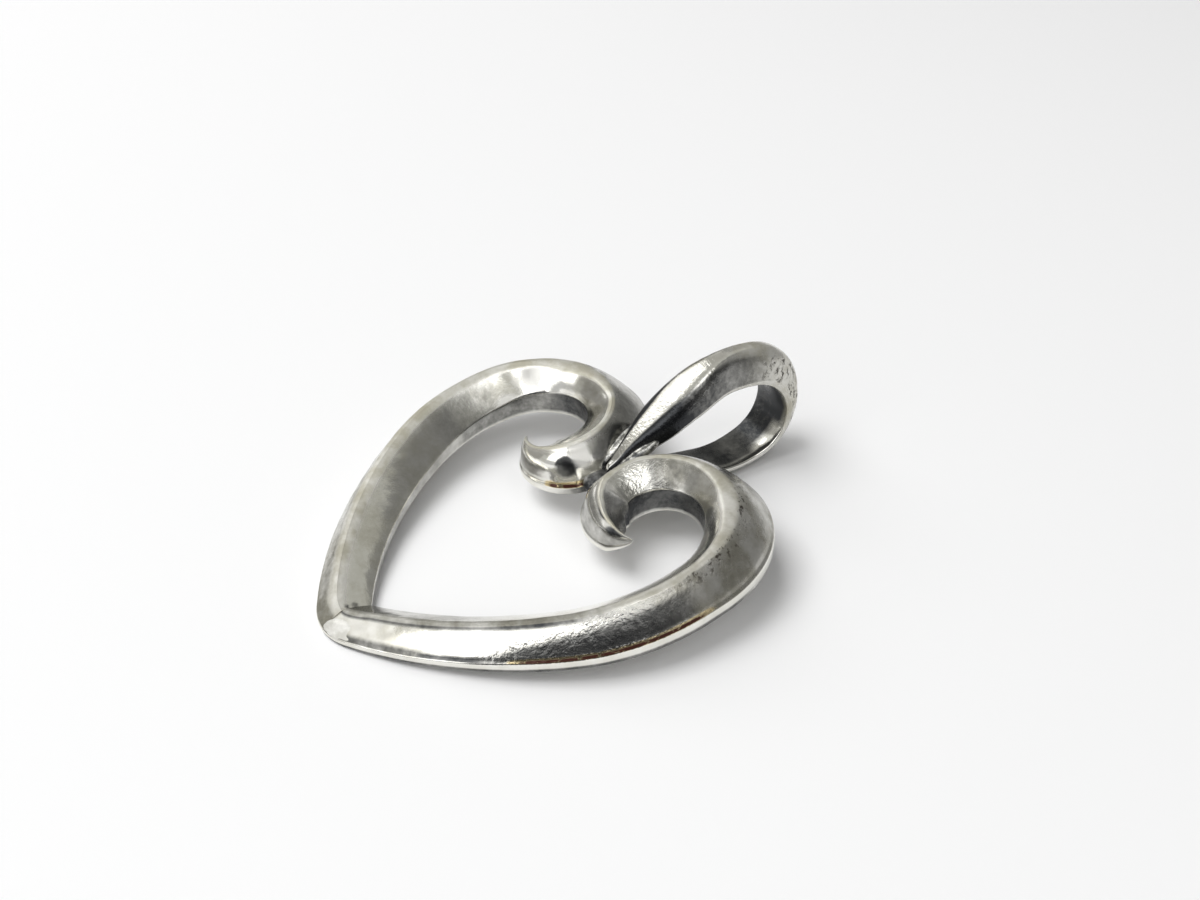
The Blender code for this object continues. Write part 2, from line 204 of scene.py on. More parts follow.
def turned_corner(before, corner, after, radius):
    """Points of a soft corner, which takes less than half of the edges beside it."""
    start = corner + (before - corner).normalized() * min(radius, (before - corner).length * CORNER_SHARE)
    end = corner + (after - corner).normalized() * min(radius, (after - corner).length * CORNER_SHARE)
    points = []
    for k in range(CORNER_POINTS):
        t = k / (CORNER_POINTS - 1)
        points.append((1 - t) ** 2 * start + 2 * t * (1 - t) * corner + t * t * end)
    return points


def outline_ring(corners, radii, cuts, swells, high_swell):
    """A closed outline through soft corners. Each edge after a corner is cut and swollen a little.

    The second edge's swelling lies in its middle, or nearer its upper end as high_swell goes to 1.
    """
    count = len(corners)
    soft = [turned_corner(corners[k - 1], corners[k], corners[(k + 1) % count], radii[k]) for k in range(count)]
    ring = []
    marks = []
    for k in range(count):
        ring += soft[k]
        marks += [k + 0.5 * j / (CORNER_POINTS - 1) - 0.25 for j in range(CORNER_POINTS)]
        start, end = soft[k][-1], soft[(k + 1) % count][0]
        run = end - start
        across = Vector((-run.y, run.x)).normalized() if run.length > 0 else Vector((0.0, 0.0))
        for j in range(1, cuts[k]):
            t = j / cuts[k]
            bulge = swells[k] * EVEN_PEAK * t * (1 - t)
            if k == 1:
                bulge += high_swell * (swells[k] * HIGH_PEAK * t * t * (1 - t) - bulge)
                bulge -= LIP_DEPTH * math.exp(-((t - LIP_PLACE) / LIP_WIDTH) ** 2)
            ring.append(start + run * t - across * bulge)
            marks.append(k + 0.25 + 0.5 * t)
    return ring, marks


# The finer shape of the arm's section: how far the crest's two edges lie from its line, how softly they are turned,
# how much wider the outer foot is than the solid's, the heights of the walls, and how full the two slopes are.
Detail = namedtuple("Detail", "heading crest_out crest_in crest_soft spread outer_wall inner_wall "
                              "outer_swell inner_swell")
SCROLL_DETAILS = (
    Detail(150.0, 0.38, -0.6, 0.26, 0.0, 0.65, 1.65, 0.1, 0.05),
    Detail(180.0, 0.36, -0.3, 0.18, 0.0, 0.65, 1.65, 0.1, 0.07),
    Detail(210.0, 0.33, 0.05, 0.12, 0.0, 0.7, 1.65, 0.1, 0.09),
    Detail(250.0, 0.3, 0.05, 0.12, 0.0, 0.7, 1.75, 0.14, 0.08),
)
RIGHT_DETAILS = (
    Detail(28.0, 0.16, -0.18, 0.1, 0.24, 0.38, 0.2, 0.03, 0.04),
    Detail(33.0, 0.05, -0.24, 0.09, 0.2, 0.42, 0.28, 0.05, 0.04),
    Detail(45.0, 0.0, -0.28, 0.1, 0.08, 0.5, 0.45, 0.08, 0.05),
    Detail(95.0, 0.08, -0.3, 0.12, 0.0, 0.74, 1.25, 0.09, 0.06),
    Detail(125.0, 0.25, -0.4, 0.2, 0.0, 0.7, 1.4, 0.1, 0.06),
) + SCROLL_DETAILS + (
    Detail(275.0, 0.2, -0.1, 0.13, 0.0, 0.6, 1.8, 0.2, 0.07),
    Detail(300.0, 0.0, -0.26, 0.14, 0.0, 0.42, 1.7, 0.3, 0.06),
    Detail(335.0, -0.15, -0.38, 0.14, 0.0, 0.32, 1.2, 0.26, 0.06),
    Detail(412.0, -0.02, -0.1, 0.05, 0.0, 0.25, 0.3, 0.05, 0.0),
)
LEFT_DETAILS = (
    Detail(28.0, 0.5, 0.0, 0.32, 0.24, 0.38, 0.2, 0.04, 0.04),
    Detail(60.0, 0.5, -0.1, 0.36, 0.0, 0.6, 0.75, 0.05, 0.05),
    Detail(95.0, 0.42, -0.15, 0.3, 0.0, 0.74, 1.25, 0.07, 0.02),
    Detail(125.0, 0.25, -0.35, 0.2, 0.0, 0.7, 1.5, 0.1, -0.03),
) + SCROLL_DETAILS + (
    Detail(270.0, 0.22, -0.06, 0.13, 0.0, 0.65, 1.75, 0.28, 0.07),
    Detail(300.0, 0.0, -0.24, 0.12, 0.0, 0.5, 1.55, 0.2, 0.05),
    Detail(335.0, -0.18, -0.34, 0.1, 0.0, 0.4, 1.2, 0.16, 0.03),
    Detail(412.0, -0.02, -0.1, 0.05, 0.0, 0.25, 0.3, 0.05, 0.0),
)
WALL_SOFT = 0.11
# The most that each wall takes of the crest's height.
OUTER_WALL_SHARE = 0.7
INNER_WALL_SHARE = 0.85
CREST_SWELL = 0.01
# A fine groove along the foot of the outer slope, by the share of the slope.
LIP_PLACE, LIP_WIDTH, LIP_DEPTH = 0.07, 0.05, 0.02
# How much fuller the hook's hollow side is than the solid's near its point, and how much higher the left one ends.
HOOK_FILL = 0.35
FILL_HEADINGS = (360.0, 400.0, 15.0)
HORN_LIFT = 0.38
LIFT_HEADINGS = (335.0, 400.0)
# The outer slope's swelling moves up it over these headings.
HIGH_SWELL_HEADINGS = (270.0, 300.0)
# How far each hook runs on past the solid's, right and left. The right one ends in a fine point and the left one in a
# blunt horn, and both shrink towards this share of the section's height.
HOOK_RUN_ON = (0.1, 0.2)
POINT_LENGTH = 1.3
POINT_LEAST = 0.05
POINT_POWER = 0.55
HORN_LENGTH = 0.9
NOSE_LEAST = 0.03
END_HEIGHT = 0.78


def arm_section(heading, is_left):
    """The arm's outline at a heading, as offset outward and height, and its marks."""
    size = {field: blend(ARM_SECTIONS, field, heading) for field in Section._fields[1:]}
    details = LEFT_DETAILS if is_left else RIGHT_DETAILS
    detail = {field: between([(station.heading, getattr(station, field)) for station in details], heading)
              for field in Detail._fields[1:]}
    half = size["half_band"]
    crest = size["crest"]
    if is_left:
        crest += HORN_LIFT * ramp(heading, *LIFT_HEADINGS)
    outer = half + size["outer"] + detail["spread"]
    inner = -half - size["inner"] - HOOK_FILL * band(heading, *FILL_HEADINGS)
    corners = [Vector((outer, 0.0)), Vector((outer, min(detail["outer_wall"], crest * OUTER_WALL_SHARE))),
               Vector((detail["crest_out"], crest)), Vector((detail["crest_in"], crest)),
               Vector((inner, min(detail["inner_wall"], crest * INNER_WALL_SHARE))), Vector((inner, 0.0))]
    radii = (WALL_SOFT, WALL_SOFT, detail["crest_soft"], detail["crest_soft"], WALL_SOFT, WALL_SOFT)
    swells = (0.0, detail["outer_swell"], CREST_SWELL, detail["inner_swell"], 0.0, 0.0)
    return outline_ring(corners, radii, ARM_CUTS, swells, ramp(heading, *HIGH_SWELL_HEADINGS))


def loft(rings):
    """A closed skin over rings of as many points each."""
    builder = bmesh.new()
    rows = [[builder.verts.new(point) for point in ring] for ring in rings]
    count = len(rows[0])
    for row, following in zip(rows, rows[1:]):
        for k in range(count):
            j = (k + 1) % count
            builder.faces.new((row[k], row[j], following[j], following[k]))
    builder.faces.new(rows[0])
    builder.faces.new(rows[-1][::-1])
    bmesh.ops.recalc_face_normals(builder, faces=builder.faces)
    return builder


def nose(distance_left, length):
    """How much of its width a section keeps this close to a rounded end."""
    t = 1 - min(max(distance_left / length, 0.0), 1.0)
    return math.sqrt(max(1 - t * t, 0.0)) * (1 - NOSE_LEAST) + NOSE_LEAST


def point_in(distance_left, length):
    """The same for an end that tapers to a fine point."""
    t = min(max(distance_left / length, 0.0), 1.0)
    return POINT_LEAST + (1 - POINT_LEAST) * t ** POINT_POWER


def to_mesh(name, builder):
    mesh = bpy.data.meshes.new(name)
    builder.to_mesh(mesh)
    builder.free()
    return mesh


def put_in_scene(name, data):
    thing = bpy.data.objects.new(name, data)
    bpy.context.scene.collection.objects.link(thing)
    return thing


SHARP_ANGLE = math.radians(50.0)


def add_piece(name, builder, node, material):
    """Turns a mesh in millimetres in the pendant's frame into a piece that lies where its node lies."""
    bmesh.ops.scale(builder, vec=(MM, MM, MM), verts=builder.verts)
    builder.transform(LYING)
    mesh = to_mesh(name, builder)
    mesh.shade_smooth()
    mesh.set_sharp_from_angle(angle=SHARP_ANGLE)
    mesh.materials.append(material)
    piece = put_in_scene(name, mesh)
    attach(piece, "root")
    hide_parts(node)


def ramp(value, start, end):
    """0 before start, 1 after end, smooth between. Start may be the larger."""
    t = min(max((value - start) / (end - start), 0.0), 1.0)
    return t * t * (3 - 2 * t)


def band(value, first, last, soft):
    """1 between first and last, fading to 0 over the soft margin on both sides."""
    return ramp(value, first - soft, first + soft) * ramp(value, last + soft, last - soft)


# Where the finishes lie on an arm. Across it they go by marks round the section: 0 to 1 is the outer wall, 1 to 2 the
# outer slope, 2 to 3 the crest, 3 to 4 the inner slope, 4 to 5 the inner wall, 5 to 6 the flat back. Along it they go
# by millimetres walked from the tip. A stretch is its first and last place and its soft margin.
START, END = -90.0, 90.0
EVERYWHERE = (START, END, 1.0)
OUTER_WALL = (0.0, 0.95, 0.15)
OUTER_SLOPE = (1.1, 1.8, 0.12)
CREST = (1.75, 3.2, 0.12)
INNER_SLOPE = (3.2, 3.9, 0.12)
INNER_WALL = (4.0, 4.72, 0.06)
BACK = (5.1, 5.9, 0.1)
HOLLOW = (3.15, 4.3, 0.1)
ON_LOBE = (17.0, 28.0, 2.0)
IN_VALLEY = (29.5, 35.0, 1.0)
IN_HOOK = (34.9, 38.3, 0.7)

# The inner wall's darkening, oxide together with painted shade of the shaded table that it reflects, is this much
# everywhere, and this much more inside the scroll.
WALL_TARNISH_AND_SHADE = 0.45
SCROLL_TARNISH_AND_SHADE = 0.5
INTO_SCROLL = (22.0, 26.0)

# The right arm's long dark band, a painted reflection of dark surroundings, and how high up the outer slope it reaches
# by the distance walked.
DARK_BAND_FOOT = 1.31
DARK_BAND_TOPS = ((9.0, 1.38), (12.0, 1.55), (15.0, 1.61), (19.0, 1.66))
DARK_BAND_SOFT = 0.05
DARK_BAND_ALONG = (9.0, 19.0, 1.0)
DARK_BAND_STRENGTH = 0.8

BARE = {"tarnish_and_shade": 0.0, "film": 0.3, "matt": 0.0, "grain": 0.1, "frost": 0.0, "pits": 0.0, "brown": 0.0}
# Each patch of a finish is a stretch across, a stretch along and how strong it is.
BOTH_PATCHES = {
    "tarnish_and_shade": (
        # Painted shade and a painted reflection of the bail's dark underside: the outer wall and slope darkened in the
        # valley where the scrolls meet.
        (OUTER_WALL, IN_VALLEY, 0.9),
        (OUTER_SLOPE, IN_VALLEY, 0.5),
        (BACK, EVERYWHERE, 0.4),
    ),
    "film": (
        (CREST, EVERYWHERE, 0.9),
        (OUTER_SLOPE, ON_LOBE, 0.9),
        (INNER_SLOPE, EVERYWHERE, 0.5),
    ),
    "matt": (
        (CREST, EVERYWHERE, 0.35),
        (OUTER_SLOPE, ON_LOBE, 0.3),
    ),
    "grain": (
        (OUTER_SLOPE, (8.5, 19.0, 1.5), 1.0),
        (INNER_SLOPE, (30.5, 34.0, 0.8), 1.6),
    ),
    "frost": (
        (OUTER_SLOPE, (START, 3.5, 1.0), 1.0),
        (CREST, EVERYWHERE, 0.9),
    ),
    "pits": (((1.62, 1.9, 0.1), (18.5, 27.0, 1.5), 1.0),),
}
RIGHT_PATCHES = {
    "brown": (((1.215, 1.295, 0.025), (9.8, 19.3, 0.8), 1.0),),
    "tarnish_and_shade": (
        (INNER_SLOPE, (START, 8.5, 2.5), 0.4),
        (INNER_SLOPE, (24.5, 29.0, 0.5), 0.4),
        (INNER_SLOPE, (28.0, 30.8, 0.5), 0.63),
        (INNER_SLOPE, (33.5, END, 0.5), 0.4),
        (HOLLOW, IN_HOOK, 0.8),
        (OUTER_SLOPE, (19.0, 30.0, 1.5), 0.42),
        (OUTER_SLOPE, (35.25, END, 0.75), 0.52),
        (CREST, (START, 15.0, 2.0), 0.45),
        (CREST, (16.0, 30.0, 1.0), 0.16),
        # Painted contact shadow: the lower half of the near arm's outer wall, down by the table.
        ((-0.3, 0.45, 0.08), (START, 22.0, 2.0), 0.85),
        ((1.16, 1.36, 0.05), (START, 5.5, 1.5), 0.75),
        ((1.235, 1.32, 0.02), (4.5, 8.5, 1.0), 0.98),
        ((1.26, 1.3, 0.015), (START, 10.0, 1.0), 0.7),
        ((1.7, 1.82, 0.025), (START, 14.0, 2.0), 0.85),
    ),
    "film": (
        (INNER_SLOPE, (24.0, 30.8, 0.6), 0.95),
        (OUTER_SLOPE, (START, 6.0, 2.0), 0.7),
    ),
    "matt": (
        (INNER_SLOPE, (24.0, 30.8, 0.6), 0.3),
        (OUTER_SLOPE, (START, 3.0, 1.0), 0.6),
        (CREST, (16.0, 30.0, 1.0), 0.5),
        (HOLLOW, IN_HOOK, 0.6),
    ),
}
LEFT_PATCHES = {
    "brown": (((1.1, 1.3, 0.05), (33.9, 35.7, 0.25), 1.0),),
    "tarnish_and_shade": (
        (INNER_SLOPE, (15.0, 20.3, 1.0), 0.42),
        (INNER_SLOPE, (26.5, 31.0, 1.0), 0.25),
        # The lobe's inner wall: oxide and painted shade.
        (INNER_WALL, (16.0, 24.0, 1.0), 0.7),
        (OUTER_SLOPE, (START, 28.0, 2.0), 0.38),
        (OUTER_SLOPE, (25.5, 31.0, 1.0), 0.5),
        (CREST, (START, 8.0, 2.0), 0.15),
    ),
    "film": ((OUTER_SLOPE, (START, 29.0, 2.0), 0.9),),
    "grain": ((OUTER_SLOPE, (START, 10.5, 1.5), 1.0),),
    "matt": ((CREST, (START, 11.0, 2.0), 0.6),),
}
# Where the left arm is rubbed clean of a finish again.
LEFT_CLEANED = {
    "film": (
        (INNER_SLOPE, (21.8, 25.6, 0.7), 0.9),
        (OUTER_SLOPE, (33.2, 35.5, 0.6), 0.8),
    ),
    "tarnish_and_shade": ((OUTER_SLOPE, (33.4, 36.5, 0.6), 0.9),),
}

# Worn spots and painted highlights, each with its place round and along the arm, its reach round and along, and how
# strong it is. A bright spot is polished, and a pale one is a painted highlight: matt soft white in place of a bright
# reflection.
Spot = namedtuple("Spot", "kind mark walk reach_round reach_along amount")
RIGHT_SPOTS = (
    Spot("bright", 3.5, 32.5, 0.6, 1.1, 0.7),
    Spot("tarnish_and_shade", 3.5, 31.25, 0.36, 0.6, 0.5),
    Spot("tarnish_and_shade", 3.9, 35.2, 0.35, 1.4, 0.2),
    Spot("pits", 1.9, 21.2, 0.2, 1.4, 1.0),
    Spot("pits", 1.85, 23.8, 0.1, 1.2, 1.0),
    Spot("tarnish_and_shade", 1.78, 36.9, 0.06, 0.5, 0.95),
    Spot("tarnish_and_shade", 1.66, 38.0, 0.1, 0.5, 0.95),
    Spot("bright", 2.75, 36.6, 0.25, 0.9, 1.0),
    Spot("tarnish_and_shade", 3.6, 24.6, 0.3, 1.1, 0.75),
)
LEFT_SPOTS = (
    Spot("tarnish_and_shade", 3.2, 0.3, 0.09, 0.16, 0.9),
    Spot("tarnish_and_shade", 3.42, 0.55, 0.08, 0.2, 0.7),
    # The pale spots are painted highlights.
    Spot("pale", 1.68, 34.1, 0.2, 0.5, 0.95),
    Spot("pale", 3.75, 20.6, 0.12, 1.0, 0.9),
    Spot("pale", 3.4, 22.95, 0.26, 0.85, 1.0),
    Spot("tarnish_and_shade", 1.5, 34.95, 0.12, 0.4, 0.9),
    Spot("tarnish_and_shade", 3.9, 35.2, 0.35, 1.4, 0.6),
)
SPOT_EDGE = (1.3, 0.7)
HIGHLIGHT_MATT = 0.85


def cover(patches, mark, walk):
    """How strong the strongest of these patches is at this place."""
    strongest = 0.0
    for across, along, amount in patches:
        here = band(mark, *across)
        if here > 0:
            strongest = max(strongest, here * band(walk, *along) * amount)
    return strongest


def lay_on(finish, tables, mark, walk):
    """Raises each finish to what the tables' patches make it."""
    for table in tables:
        for name, patches in table.items():
            finish[name] = max(finish[name], cover(patches, mark, walk))


def add_spot(finish, spot, mark, walk):
    """Lays one spot on, or wears the finishes off where it is bright or pale; a pale spot is then made matt, as a
    painted highlight.
    """
    away = math.hypot((mark - spot.mark) / spot.reach_round, (walk - spot.walk) / spot.reach_along)
    amount = spot.amount * ramp(away, *SPOT_EDGE)
    if spot.kind in finish:
        finish[spot.kind] = max(finish[spot.kind], amount)
    else:
        for cleared in ("tarnish_and_shade", "film", "matt"):
            finish[cleared] *= 1 - amount
        # A pale spot is a painted highlight, matt silver that shows soft white.
        if spot.kind == "pale":
            finish["matt"] = max(finish["matt"], amount * HIGHLIGHT_MATT)


def arm_finish(mark, walk, is_left):
    """How dark with tarnish and painted shade, filmed, matt (also as painted highlights), grainy, frosted, pitted and
    browned an arm is, by place round and along it.
    """
    finish = dict(BARE)
    # The inner wall is darkened with oxide and painted shade.
    finish["tarnish_and_shade"] = band(mark, *INNER_WALL) * (WALL_TARNISH_AND_SHADE + SCROLL_TARNISH_AND_SHADE * ramp(walk, *INTO_SCROLL))
    if is_left:
        lay_on(finish, (BOTH_PATCHES, LEFT_PATCHES), mark, walk)
        for name, patches in LEFT_CLEANED.items():
            finish[name] *= 1 - cover(patches, mark, walk)
    else:
        lay_on(finish, (BOTH_PATCHES, RIGHT_PATCHES), mark, walk)
        # The dark band is a painted dark reflection, laid into the same dark channel.
        top = between(DARK_BAND_TOPS, walk)
        dark_band = band(mark, DARK_BAND_FOOT, top, DARK_BAND_SOFT) * band(walk, *DARK_BAND_ALONG)
        finish["tarnish_and_shade"] = max(finish["tarnish_and_shade"], dark_band * DARK_BAND_STRENGTH)
    for spot in LEFT_SPOTS if is_left else RIGHT_SPOTS:
        add_spot(finish, spot, mark, walk)
    return finish


def store_finish(builder, finishes):
    """Keeps each finish as a named value on every vertex, for the material to read."""
    layers = {key: builder.verts.layers.float.new(key) for key in finishes[0]}
    for vert, finish in zip(builder.verts, finishes):
        for key, layer in layers.items():
            vert[layer] = finish[key]


# How uneven the arms are, in depth and in waves per millimetre: the casting everywhere, the grain on the slopes, the
# peening at the tip and the dents along the left arm.
CAST_DEPTH = 0.014
CAST_WAVES = 0.55, 1.3
GRAIN_DEPTH = 0.006
GRAIN_WAVES = 3.6
PEEN_DEPTH = 0.05
PEEN_WAVES = 1.6
DENT_DEPTH = 0.03
DENT_WAVES = 2.1
# The flat back stays flat: the unevenness grows in over this height above it.
UNEVEN_FROM_HEIGHT = 0.4
# The tip is peened and the left arm dented below these two places along Y, each with where it begins to fade.
PEENED_TO = (5.0, 2.0)
DENTED_TO = (12.0, 9.0)
# Each arm is cut off this near to the mirror plane.
MITRE_GAP = 0.003


def arm_builder(is_left, seed):
    """One arm of the heart, with its finishes. The left one is built on the right and then mirrored."""
    line = crest_line(HOOK_RUN_ON[is_left])
    length = line[-1][2]
    rings = []
    finishes = []
    for point, heading, distance in line:
        side = outward(heading)
        keep = nose(length - distance, HORN_LENGTH) if is_left else point_in(length - distance, POINT_LENGTH)
        section, marks = arm_section(heading, is_left)
        middle = Vector((0.0, END_HEIGHT * max(co.y for co in section)))
        ring = []
        for co in section:
            shrunk = middle + (co - middle) * keep
            ring.append(Vector((*(point + side * shrunk.x), shrunk.y)))
        rings.append(ring)
        finishes += [arm_finish(mark, distance, is_left) for mark in marks]
    builder = loft(rings)
    store_finish(builder, finishes)
    hand_work(builder, seed, DENT_DEPTH if is_left else 0.0)
    everything = builder.verts[:] + builder.edges[:] + builder.faces[:]
    bmesh.ops.bisect_plane(builder, geom=everything, plane_co=(MITRE_GAP, 0, 0), plane_no=(1, 0, 0), clear_inner=True)
    bmesh.ops.holes_fill(builder, edges=[edge for edge in builder.edges if edge.is_boundary], sides=0)
    soften_tip(builder)
    if is_left:
        bmesh.ops.scale(builder, vec=(-1, 1, 1), verts=builder.verts)
        bmesh.ops.reverse_faces(builder, faces=builder.faces)
    return builder


def hand_work(builder, seed, dents):
    """Slight unevenness, as in a hand-finished casting, with a peened tip."""
    offset = Vector((seed * 31.7, seed * 17.3, seed * 5.1))
    builder.normal_update()
    grain = builder.verts.layers.float["grain"]
    frost = builder.verts.layers.float["frost"]
    for vert in builder.verts:
        lift = ramp(vert.co.z, 0.0, UNEVEN_FROM_HEIGHT)
        wave = noise(vert.co * CAST_WAVES[0] + offset) + 0.5 * noise(vert.co * CAST_WAVES[1] + offset * 2)
        wave *= CAST_DEPTH
        wave += GRAIN_DEPTH * vert[grain] * noise(vert.co * GRAIN_WAVES + offset)
        peened = vert[frost] * ramp(vert.co.y, *PEENED_TO)
        wave += PEEN_DEPTH * peened * noise(vert.co * PEEN_WAVES + offset)
        dented = vert[grain] * ramp(vert.co.y, *DENTED_TO)
        wave += dents * dented * noise(vert.co * DENT_WAVES + offset)
        vert.co += vert.normal * wave * lift


# The heart's point is worn within this reach of the mirror plane: moved back and pressed down.
TIP_REACH = 1.7
TIP_LIFT = 0.45
TIP_SINK = 0.2
MOVED_TO = (0.8, -0.9)


def soften_tip(builder):
    """Rounds the point of the heart where the two arms meet, most at its outer foot."""
    for vert in builder.verts:
        near = max(1 - vert.co.x / TIP_REACH, 0.0)
        vert.co.y += TIP_LIFT * near * near * ramp(vert.co.y, *MOVED_TO)
        vert.co.z *= 1 - TIP_SINK * near


def bail_normal(angle):
    return Vector((-math.sin(math.radians(angle)), math.cos(math.radians(angle))))


def bail_line():
    """The bail's inner line in the mirror plane, as in the solids: points and the angle that the line runs at."""
    point, angle = Vector((SCROLL_CENTRE_Y + FOOT_REACH, FOOT_HEIGHT)), FOOT_ANGLE
    line = [(point, angle)]

    def turn_to(last_angle, radius):
        nonlocal point, angle
        side = 1.0 if last_angle > angle else -1.0
        centre = point + side * radius * bail_normal(angle)
        count = steps_for(radius, last_angle - angle)
        first = angle
        for k in range(1, count + 1):
            angle = first + (last_angle - first) * k / count
            line.append((centre - side * radius * bail_normal(angle), angle))
        point = line[-1][0]

    def run(way):
        nonlocal point
        count = max(math.ceil(way.length / STEP_LENGTH), 1)
        line.extend([(point + way * k / count, angle) for k in range(1, count + 1)])
        point = line[-1][0]

    turn_to(FRONT_START_ANGLE, FOOT_RADIUS)
    turn_to(FRONT_END_ANGLE, FRONT_RADIUS)
    turn_to(TOP_END_ANGLE, TOP_RADIUS)
    turn_to(UNDER_END_ANGLE, UNDER_RADIUS)
    back = point - BACK_RADIUS * bail_normal(angle)
    seat = Vector((SCROLL_CENTRE_Y + SEAT_REACH, -SEAT_GAP - SEAT_RADIUS))
    to_seat = seat - back
    swing = math.asin((BACK_RADIUS + SEAT_RADIUS) / to_seat.length)
    lean = math.degrees(math.atan2(to_seat.y, to_seat.x) - swing)
    turn_to(lean, BACK_RADIUS)
    run(seat - SEAT_RADIUS * bail_normal(lean) - point)
    turn_to(FLAT_ANGLE, SEAT_RADIUS)
    run(Vector((-SEAT_LENGTH, 0.0)))
    return line


# How full the dome is and how tall the rims are, by the share of the bail's length.
FULLNESSES = ((0.0, 3.4), (0.12, 5.0), (0.26, 5.0), (0.36, 3.0), (0.5, 2.4), (1.0, 2.4))
RIM_HEIGHTS = ((0.0, 0.1), (0.14, 0.14), (0.32, 0.22), (0.52, 0.36), (0.66, 0.3), (1.0, 0.3))
# How much wider the band is than the solid's where it leaves the scrolls.
LEG_FLARE = 0.35
FLARE_ALONG = (0.12, 0.27, 0.05)
RIM_SOFT = 0.09
# The dome keeps this much of its height at the band's very ends, which are rounded over these two lengths.
DOME_LEAST = 0.3
FOOT_ROUNDING = 0.6
BACK_ROUNDING = 0.35
# Two sizes of unevenness, each its depth and its waves per millimetre, growing in over this run along Y.
BAIL_UNEVEN = ((0.012, 0.7), (0.006, 2.2))
BAIL_UNEVEN_FROM = (19.0, 20.5)


def band_section(share, keep):
    """The bail's outline, with softly rounded rims, as offset along X and height off the line, and marks."""
    half = (blend(BAIL_BANDS, "half_width", share) + LEG_FLARE * band(share, *FLARE_ALONG)) * keep
    rim = between(RIM_HEIGHTS, share)
    top = blend(BAIL_BANDS, "dome", share) + blend(BAIL_BANDS, "rim", share)
    dome = (top - rim) * (DOME_LEAST + (1 - DOME_LEAST) * keep)
    fullness = between(FULLNESSES, share)
    soft = min(RIM_SOFT, half * 0.3)
    ring = [(half - soft, 0.0), (half - soft * 0.3, soft * 0.3), (half, soft)]
    marks = [0.0, 0.5, 1.0]
    ring += [(half, soft + (rim - soft) * t) for t in (0.35, 0.7, 1.0)]
    marks += [1.3, 1.6, 2.0]
    for k in range(1, 2 * DOME_STEPS):
        across = math.cos(math.pi * k / (2 * DOME_STEPS))
        ring.append((half * across, rim + dome * (1 - abs(across) ** fullness)))
        marks.append(2.0 + k / (2 * DOME_STEPS))
    ring += [(-half, soft + (rim - soft) * t) for t in (1.0, 0.7, 0.35)]
    marks += [3.0, 3.4, 3.7]
    ring += [(-half, soft), (-half + soft * 0.3, soft * 0.3), (-half + soft, 0.0)]
    marks += [4.0, 4.5, 5.0]
    ring += [(half * t, 0.0) for t in (-0.6, -0.2, 0.2, 0.6)]
    marks += [5.2, 5.4, 5.6, 5.8]
    return ring, marks


# Where the finishes lie on the bail. Across it, 0 to 1 and 4 to 5 are the soft edges, 1 to 2 and 3 to 4 the rims, 2 to
# 3 the dome and 5 to 6 the inside. Along it they go by the share of its length from the front foot.
BAIL_INSIDE = (4.45, 5.95, 0.05)
BAIL_INNER_EDGE = (-1.0, -0.1, 0.05)
BAIL_DOME = (2.05, 2.95, 0.1)
BAIL_RIM = (0.9, 1.96, 0.06)
BAIL_FAR_SIDE = (2.6, 2.95, 0.05)
ON_FAR_SIDE = (0.08, 0.36, 0.03)
ON_TOP = (0.33, 0.56, 0.04)
BAIL_PATCHES = {
    "tarnish_and_shade": (
        (BAIL_DOME, (START, 0.06, 0.03), 0.4),
        (BAIL_DOME, (0.3, 0.48, 0.04), 0.1),
        (BAIL_DOME, (0.54, END, 0.04), 0.3),
        (BAIL_FAR_SIDE, ON_FAR_SIDE, 0.35),
    ),
    "film": ((BAIL_FAR_SIDE, ON_FAR_SIDE, 0.9),),
    "matt": ((BAIL_RIM, (0.12, 0.62, 0.05), 0.8),),
    "pits": (((2.06, 2.36, 0.05), (0.385, 0.58, 0.03), 1.0),),
}
# A streak that stays bright across the inside.
STREAK_ACROSS = (5.68, 5.97, 0.04)
STREAK_ALONG = (0.555, 0.635, 0.012)
# How far up the dome its dark flanks reach at the foot, and how much less on the leg and over the top. The dark is
# painted shade, for the shaded table that the flanks reflect, and tarnish.
FLANK_REACH = 0.37
FLANK_LESS_ON_LEG = 0.08
FLANK_LESS_ON_TOP = 0.2
FLANK_SOFT = 0.02
FLANK_START = 0.06
FLANK_SHADE_AND_TARNISH = 1.15
FLANK_PALER_ON_LEG = 0.37


def bail_flanks(mark, share):
    """The painted shade and tarnish along both feet of the dome, in reach and strength."""
    reach = FLANK_REACH - FLANK_LESS_ON_LEG * ramp(share, 0.14, 0.26) - FLANK_LESS_ON_TOP * ramp(share, 0.36, 0.5)
    near, far = 2.0 - FLANK_SOFT, 3.0 + FLANK_SOFT
    near_full, far_full = near + FLANK_START, far - FLANK_START
    flanks = max(ramp(mark, near, near_full) * ramp(mark, near_full + reach, near + reach),
                 ramp(mark, far, far_full) * ramp(mark, far_full - reach, far - reach))
    return flanks * ramp(share, 0.44, 0.34) * (FLANK_SHADE_AND_TARNISH - FLANK_PALER_ON_LEG * ramp(share, 0.17, 0.25))


def bail_finish(mark, share):
    """The same finishes for the bail: oxide and painted shade inside the loop, painted shade and tarnish on the
    flanks, pale rims, pits over the top.
    """
    # Inside the loop: oxide and painted shade.
    inside = max(band(mark, *BAIL_INSIDE), band(mark, *BAIL_INNER_EDGE))
    inside *= 1 - band(mark, *STREAK_ACROSS) * band(share, *STREAK_ALONG)
    top = band(share, *ON_TOP)
    finish = dict(BARE)
    finish["tarnish_and_shade"] = max(inside * (0.9 + 0.1 * band(share, 0.35, 0.62, 0.05)), bail_flanks(mark, share))
    finish["film"] = 0.25 + 0.65 * top
    finish["matt"] = 0.5 * top
    finish["grain"] = 0.1 + 0.8 * band(share, 0.04, 0.3, 0.05) * band(mark, *BAIL_DOME)
    lay_on(finish, (BAIL_PATCHES,), mark, share)
    return finish


